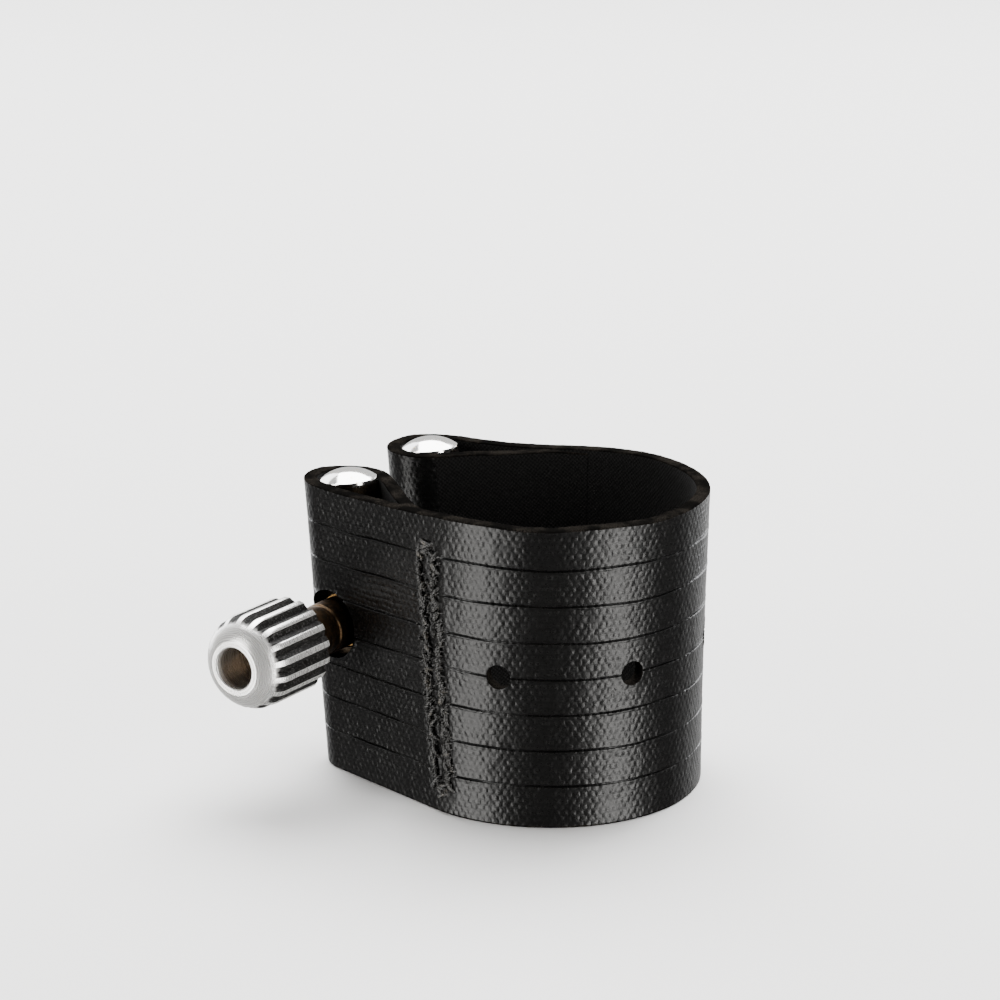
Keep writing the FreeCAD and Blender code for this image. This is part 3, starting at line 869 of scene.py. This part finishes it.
# ================================================================ materials
class Nodes:
    """A node material being put together around one Principled shader."""

    def __init__(self, name, **constants):
        self.material = bpy.data.materials.new(name)
        self.material.use_nodes = True
        self.tree = self.material.node_tree
        self.shader = self.tree.nodes["Principled BSDF"]
        for socket, value in constants.items():
            self.shader.inputs[socket.replace("_", " ")].default_value = value
        self.object = self.new("ShaderNodeTexCoord").outputs["Object"]

    def new(self, kind, **settings):
        node = self.tree.nodes.new(kind)
        for key, value in settings.items():
            setattr(node, key, value)
        return node

    def put(self, socket, value):
        if isinstance(value, bpy.types.NodeSocket):
            self.tree.links.new(value, socket)
        else:
            socket.default_value = value

    def math(self, operation, *values, clamp=False):
        node = self.new("ShaderNodeMath", operation=operation, use_clamp=clamp)
        for i, value in enumerate(values):
            self.put(node.inputs[i], value)
        return node.outputs[0]

    def plus(self, a, b):
        return self.math("ADD", a, b)

    def minus(self, a, b):
        return self.math("SUBTRACT", a, b)

    def times(self, a, b):
        return self.math("MULTIPLY", a, b)

    def vector(self, operation, *values):
        node = self.new("ShaderNodeVectorMath", operation=operation)
        for i, value in enumerate(values):
            self.put(node.inputs[i], value)
        return node.outputs["Value"] if operation in ("LENGTH", "DOT_PRODUCT") else node.outputs[0]

    def split(self, vector):
        node = self.new("ShaderNodeSeparateXYZ")
        self.put(node.inputs[0], vector)
        return node.outputs

    def join(self, x, y, z=0.0):
        node = self.new("ShaderNodeCombineXYZ")
        for socket, value in zip(node.inputs, (x, y, z)):
            self.put(socket, value)
        return node.outputs[0]

    def scaled(self, factor):
        """Object coordinates times a factor, so that 1000 gives millimetres."""
        factors = factor if isinstance(factor, tuple) else (factor,) * 3
        return self.vector("MULTIPLY", self.object, factors)

    def noise(self, vector, scale, detail=3.0, roughness=0.55):
        node = self.new("ShaderNodeTexNoise")
        self.put(node.inputs["Vector"], vector)
        node.inputs["Scale"].default_value = scale
        node.inputs["Detail"].default_value = detail
        node.inputs["Roughness"].default_value = roughness
        return node.outputs[0]

    def cell(self, vector):
        node = self.new("ShaderNodeTexWhiteNoise", noise_dimensions="2D")
        self.put(node.inputs["Vector"], vector)
        return node.outputs["Value"]

    def spread(self, value, low, high, to_low=0.0, to_high=1.0):
        node = self.new("ShaderNodeMapRange", interpolation_type="SMOOTHSTEP")
        for i, number in enumerate((value, low, high, to_low, to_high)):
            self.put(node.inputs[i], number)
        return node.outputs[0]

    def mix(self, factor, a, b):
        node = self.new("ShaderNodeMix", data_type="RGBA")
        self.put(node.inputs["Factor"], factor)
        self.put(node.inputs[6], (*a, 1.0) if isinstance(a, tuple) else a)
        self.put(node.inputs[7], (*b, 1.0) if isinstance(b, tuple) else b)
        return node.outputs[2]

    def bump(self, height, distance_mm):
        node = self.new("ShaderNodeBump")
        node.inputs["Strength"].default_value = 1.0
        node.inputs["Distance"].default_value = distance_mm * MM
        self.put(node.inputs["Height"], height)
        return node.outputs[0]

    def finish(self, colour, roughness, normal=None):
        self.put(self.shader.inputs["Base Color"], colour)
        self.put(self.shader.inputs["Roughness"], roughness)
        if normal is not None:
            self.put(self.shader.inputs["Normal"], normal)
        return self.material


def coated_weave():
    """Dark coated fabric: rows of small staggered pillows, with worn, slightly greyer tops."""
    n = Nodes("coated_weave", Specular_IOR_Level=0.42)
    uv = n.new("ShaderNodeUVMap", uv_map="weave").outputs[0]
    drift = n.noise(uv, 0.35, 2.0)
    waver = n.noise(uv, 1.6, 2.0)
    u, v, _ = n.split(uv)
    u = n.plus(u, n.times(n.minus(waver, 0.5), 0.3))
    v = n.plus(v, n.times(n.minus(drift, 0.5), 0.6))
    u = n.math("DIVIDE", u, WEAVE_U)
    v = n.math("DIVIDE", v, WEAVE_V)
    row = n.math("FLOOR", v)
    stagger = n.times(n.math("FLOORED_MODULO", row, 2.0), 0.5)
    u = n.plus(u, stagger)
    across = n.times(n.minus(n.math("FRACT", u), 0.5), 2.0)
    up = n.times(n.minus(n.math("FRACT", v), 0.5), 2.0)
    dome_u = n.minus(1.0, n.times(across, across))
    dome_v = n.minus(1.0, n.times(up, up))
    pillow = n.math("MULTIPLY", dome_u, dome_v, clamp=True)
    own = n.cell(n.join(n.math("FLOOR", u), row))
    pillow = n.times(pillow, n.spread(own, 0.0, 1.0, 0.55, 1.0))
    grain = n.noise(uv, 7.0, 5.0, 0.7)
    lumps = n.noise(uv, 1.1, 2.0)
    height = n.plus(pillow, n.times(grain, 0.40))
    height = n.plus(height, n.times(lumps, 2.6))
    patches = n.noise(uv, 0.22, 3.0)
    worn = n.times(pillow, n.spread(patches, 0.3, 0.75, 0.35, 1.0))
    colour = n.mix(worn, FABRIC_DARK, FABRIC_WORN)
    colour = n.mix(n.times(n.spread(grain, 0.62, 0.8), 0.35), colour, FABRIC_DUST)
    rough = n.minus(n.spread(grain, 0.2, 0.8, 0.26, 0.40), n.times(pillow, 0.05))
    return n.finish(colour, rough, n.bump(height, WEAVE_BUMP))


def cut_edge():
    """Raw cut edge of the strap: pale fibres between dark faces."""
    n = Nodes("cut_edge", Specular_IOR_Level=0.0)
    fibres = n.noise(n.scaled((9000.0, 9000.0, 3000.0)), 1.0, 4.0, 0.7)
    patches = n.noise(n.scaled(1000.0), 0.45, 3.0)
    colour = n.mix(n.spread(fibres, 0.35, 0.68), (0.002, 0.0019, 0.0018), (0.022, 0.019, 0.016))
    colour = n.mix(n.spread(patches, 0.35, 0.6), colour, (0.003, 0.0028, 0.0026))
    rough = n.spread(fibres, 0.3, 0.7, 0.75, 0.95)
    return n.finish(colour, rough, n.bump(fibres, 0.09))


def backing():
    """Softer dark backing of the strap, against the mouthpiece."""
    n = Nodes("backing", Specular_IOR_Level=0.12)
    uv = n.new("ShaderNodeUVMap", uv_map="weave").outputs[0]
    u, v, _ = n.split(uv)
    twill = n.math("SINE", n.times(n.plus(u, v), 2 * math.pi / 0.42))
    cross = n.math("SINE", n.times(n.minus(u, v), 2 * math.pi / 0.35))
    fibres = n.noise(uv, 7.0, 4.0, 0.7)
    height = n.plus(n.times(n.plus(twill, cross), 0.25), fibres)
    colour = n.mix(n.spread(height, 0.1, 1.0), (0.004, 0.0039, 0.0038), (0.014, 0.0135, 0.013))
    return n.finish(colour, n.spread(fibres, 0.3, 0.7, 0.72, 0.92), n.bump(height, 0.04))


def sewing_thread():
    """Glossy dark sewing thread, with lighter fine filaments and pale patches: partly lint, and partly
    painted glints.
    """
    n = Nodes("sewing_thread", Specular_IOR_Level=0.8)
    mm_place = n.scaled(1000.0)
    filaments = n.noise(mm_place, 11.0, 4.0, 0.7)
    patches = n.noise(mm_place, 1.4, 2.0)
    # The lighter filaments and the pale patches are partly painted glints, lightened to stand for the
    # thread's highlights, and partly lint.
    colour = n.mix(n.spread(filaments, 0.35, 0.75), (0.003, 0.0029, 0.0027), (0.034, 0.032, 0.029))
    colour = n.mix(n.spread(patches, 0.55, 0.75, 0.0, 0.6), colour, (0.10, 0.088, 0.070))
    return n.finish(colour, n.spread(filaments, 0.3, 0.7, 0.22, 0.42), n.bump(filaments, 0.03))


def bar_nickel():
    """Polished plating with hairline scratches and a few dull spots."""
    n = Nodes("bar_nickel_look", Metallic=1.0)
    mm_place = n.scaled(1000.0)
    hairs = n.noise(n.scaled((2500.0, 2500.0, 900.0)), 2.2, 4.0, 0.7)
    spots = n.noise(mm_place, 1.6, 3.0, 0.6)
    tarnish = n.spread(spots, 0.60, 0.74)
    colour = n.mix(tarnish, (0.80, 0.79, 0.77), (0.55, 0.40, 0.22))
    rough = n.plus(n.spread(hairs, 0.35, 0.75, 0.07, 0.17), n.times(tarnish, 0.2))
    height = n.plus(hairs, n.times(spots, 0.7))
    return n.finish(colour, rough, n.bump(height, 0.003))


def dark_metal(name, light, dark):
    """Very dark metal: on the bars' sides it is painted shade, nearly black where there would be
    plating; on the stud it is a dark brown.
    """
    n = Nodes(name, Metallic=1.0)
    mm_place = n.scaled(1000.0)
    patches = n.noise(mm_place, 1.8, 4.0, 0.6)
    fine = n.noise(mm_place, 7.0, 4.0, 0.7)
    colour = n.mix(n.spread(patches, 0.35, 0.65), dark, light)
    rough = n.spread(fine, 0.3, 0.7, 0.28, 0.5)
    return n.finish(colour, rough, n.bump(fine, 0.01))


def turned_nickel():
    """Machined plating: fine rings from the lathe, and painted shade low in the flutes, which leaves
    the ridges bright.
    """
    n = Nodes("turned_nickel_look", Specular_IOR_Level=0.12)
    away = n.vector("SUBTRACT", n.object, (SCREW[0] * MM, 0.0, SCREW[2] * MM))
    x, y, z = n.split(n.vector("MULTIPLY", away, (1 / MM,) * 3))
    radius = n.vector("LENGTH", n.join(x, 0.0, z))
    turned = n.join(n.times(radius, 9.0), n.times(y, 9.0))
    rings = n.noise(turned, 1.4, 4.0, 0.75)
    spots = n.noise(n.scaled(1000.0), 1.1, 3.0, 0.6)
    angle = n.math("ARCTAN2", z, x)
    pitch = 2 * math.pi / FLUTES
    part = n.math("PINGPONG", angle, pitch / 2)
    slope = (KNOB_R - FLUTE_ROOT_R) / FLUTE_HALF_WIDTH
    root = n.plus(FLUTE_ROOT_R, n.times(part, KNOB_R * slope))
    # Painted shade: past the dome, the flutes' floors are painted near-black and made non-metal,
    # standing for the shade and dark reflections in them. Specks leave a little of the plating.
    sunk = n.times(n.spread(radius, FLUTE_ROOT_R - 0.1, FLUTE_ROOT_R),
                  n.spread(n.minus(KNOB_R, root), -0.02, 0.05))
    front = KNOB_LOW[1]
    on_side = n.spread(y, front + 0.6, front + 1.5)
    specks = n.noise(n.scaled(1000.0), 7.0, 3.0, 0.6)
    in_flute = n.times(sunk, on_side)
    flute_shade = n.times(in_flute, n.spread(specks, 0.2, 0.5, 0.86, 1.0))
    past_lip = n.spread(y, front + 0.35, front + 0.8)
    in_bore = n.times(n.spread(radius, 1.9, 1.8), past_lip)
    colour = n.mix(n.spread(spots, 0.55, 0.8, 0.0, 0.5), (0.90, 0.89, 0.87), (0.72, 0.69, 0.64))
    colour = n.mix(flute_shade, colour, FLUTE_PAINTED_SHADE)
    colour = n.mix(n.times(in_bore, 0.85), colour, BORE_OXIDE)
    rough = n.plus(n.spread(rings, 0.3, 0.7, 0.19, 0.34), n.times(flute_shade, 0.3))
    n.put(n.shader.inputs["Metallic"], n.spread(flute_shade, 0.0, 1.0, 0.82, 0.06))
    return n.finish(colour, rough, n.bump(rings, 0.014))


def washer_brass():
    """Brass darkened far below brass's own colour as painted shade in the gap round the screw, with
    darker patches.
    """
    n = Nodes("washer_brass_shaded_look", Metallic=1.0)
    fine = n.noise(n.scaled(1000.0), 6.0, 4.0, 0.7)
    patches = n.noise(n.scaled(1000.0), 1.5, 2.0)
    colour = n.mix(n.spread(patches, 0.35, 0.7), (0.22, 0.13, 0.05), (0.08, 0.05, 0.025))
    return n.finish(colour, n.spread(fine, 0.3, 0.7, 0.22, 0.42), n.bump(fine, 0.008))


def floor_paint():
    """Pale matt paint, very slightly uneven."""
    n = Nodes("floor_paint", Specular_IOR_Level=0.2)
    wide = n.noise(n.object, 6.0, 2.0)
    colour = n.mix(wide, (0.87, 0.865, 0.855), (0.90, 0.895, 0.89))
    return n.finish(colour, n.spread(wide, 0.3, 0.7, 0.75, 0.85))


# ================================================================ pieces
def strap_half(name, side, seed, hole_r, hole_shift):
    """Half of the strap, from the middle of the back round into its wing, shaded smooth."""
    ob = build_strap(name, side, seed, hole_r, hole_shift)
    smooth(ob, 50)
    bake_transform(ob)
    return ob


def place(ob, body, slot, materials, *nodes):
    """Paint a piece, and put it on its body in place of its CAD nodes."""
    paint_keeping_faces(ob, *materials)
    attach(ob, body)
    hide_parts(*nodes)
    return ob


FABRICS = (coated_weave(), cut_edge(), backing())
for word, side, seed, hole_r, hole_shift in (("knob", -1, 3.1, SCREW_HOLE_R, SCREW_HOLE_SHIFT),
                                             ("tip", 1, 8.7, ROD_HOLE_R, 0.0)):
    strap = strap_half(f"strap_{word}_half", side, seed, hole_r, hole_shift)
    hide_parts("strap_back", f"strap_{word}_side")

thread = sewing_thread()
for word, side, seed in (("knob", -1, 11), ("tip", 1, 23)):
    wing = f"{word}_wing"
    for i, (part, make) in enumerate((("stitches", make_stitches), ("tacks", make_tacks),
                                      ("under_thread", make_under_thread))):
        ob = make(f"{word}_{part}", side, seed + i)
        place(ob, wing, "seam_thread", [thread], f"{word}_seam_{part}")

# Painted shade: the bars' sides are painted nearly black so that they stay dark in the loops and in the
# screw's hole; only the domed ends show the plating.
bar_side_shade = dark_metal("bar_side_shade_look", (0.04, 0.030, 0.020), (0.018, 0.014, 0.011))
bar_looks = [bar_side_shade, bar_nickel()]
stud_looks = [dark_metal("stud_look", (0.085, 0.05, 0.024), (0.035, 0.024, 0.015))]
place(make_bar("bar_plain", -1, True), "knob_bar", "bar_nickel", bar_looks, "plain_bar")
place(make_bar("bar_threaded", 1, False), "tip_bar", "bar_nickel", bar_looks, "threaded_bar")
place(make_washer("washer_ring"), "knob_bar", "washer_brass", [washer_brass()], "screw_washer")
place(make_stud("thumbscrew_stud"), "thumbscrew", "screw_nickel", stud_looks, "screw_rod")
place(make_knob("thumbscrew_knob"), "thumbscrew", "screw_nickel", [turned_nickel()], "screw_knob")


# ================================================================ stage, lights and camera
def look_at(ob, place, aim):
    """Put a camera or a light at a place, pointing at the aim."""
    ob.location = Vector(place)
    ob.rotation_euler = (Vector(aim) - Vector(place)).to_track_quat("-Z", "Y").to_euler()


def area_light(name, azimuth_deg, elevation_deg, distance, width, height, watts, colour):
    """Soft light seen from the object at an azimuth from the camera's own, and an elevation."""
    light = bpy.data.lights.new(name, "AREA")
    light.shape = "RECTANGLE"
    light.size, light.size_y = width, height
    light.energy = watts
    light.color = colour
    ob = linked(bpy.data.objects.new(name, light))
    azimuth = CAMERA_AZIMUTH + math.radians(azimuth_deg)
    elevation = math.radians(elevation_deg)
    flat = distance * math.cos(elevation)
    way = Vector((flat * math.cos(azimuth), flat * math.sin(azimuth), distance * math.sin(elevation)))
    look_at(ob, LIGHT_AIM + way, LIGHT_AIM)
    ob.visible_camera = False


def make_camera():
    camera = linked(bpy.data.objects.new("camera", bpy.data.cameras.new("camera")))
    look_at(camera, CAMERA_PLACE, CAMERA_AIM)
    camera.data.sensor_width = CAMERA_SENSOR
    camera.data.lens = CAMERA_LENS
    camera.data.clip_start = 0.01
    bpy.context.scene.camera = camera


def make_floor():
    bm = bmesh.new()
    bmesh.ops.create_grid(bm, x_segments=8, y_segments=8, size=3.0)
    floor = bm_object(bm, "floor")
    floor.location.z = -0.02 * MM
    paint(floor, floor_paint())
    floor.visible_glossy = False
    floor.visible_shadow = False
    return floor


def make_world():
    """Room that is bright behind the object and dark on the camera's side, before a white backdrop."""
    world = bpy.data.worlds.new("studio")
    bpy.context.scene.world = world
    world.use_nodes = True
    nodes, links = world.node_tree.nodes, world.node_tree.links
    to_camera = (math.cos(CAMERA_AZIMUTH), math.sin(CAMERA_AZIMUTH), -0.35)
    facing = nodes.new("ShaderNodeVectorMath")
    facing.operation = "DOT_PRODUCT"
    links.new(nodes.new("ShaderNodeTexCoord").outputs["Generated"], facing.inputs[0])
    facing.inputs[1].default_value = Vector(to_camera).normalized()
    shade = nodes.new("ShaderNodeMapRange")
    shade.interpolation_type = "SMOOTHSTEP"
    links.new(facing.outputs["Value"], shade.inputs[0])
    for i, value in enumerate((-0.8, -0.1, ROOM_BRIGHT, ROOM_DARK), 1):
        shade.inputs[i].default_value = value
    room = nodes["Background"]
    room.inputs["Color"].default_value = ROOM_TINT
    links.new(shade.outputs[0], room.inputs["Strength"])
    backdrop = nodes.new("ShaderNodeBackground")
    backdrop.inputs["Color"].default_value = (1.0, 1.0, 1.0, 1)
    backdrop.inputs["Strength"].default_value = BACKDROP
    chooser = nodes.new("ShaderNodeMixShader")
    links.new(nodes.new("ShaderNodeLightPath").outputs["Is Camera Ray"], chooser.inputs[0])
    links.new(room.outputs[0], chooser.inputs[1])
    links.new(backdrop.outputs[0], chooser.inputs[2])
    links.new(chooser.outputs[0], nodes["World Output"].inputs["Surface"])


make_camera()
floor = make_floor()
for light in LIGHTS:
    area_light(*light)
make_world()

bpy.context.view_layer.update()
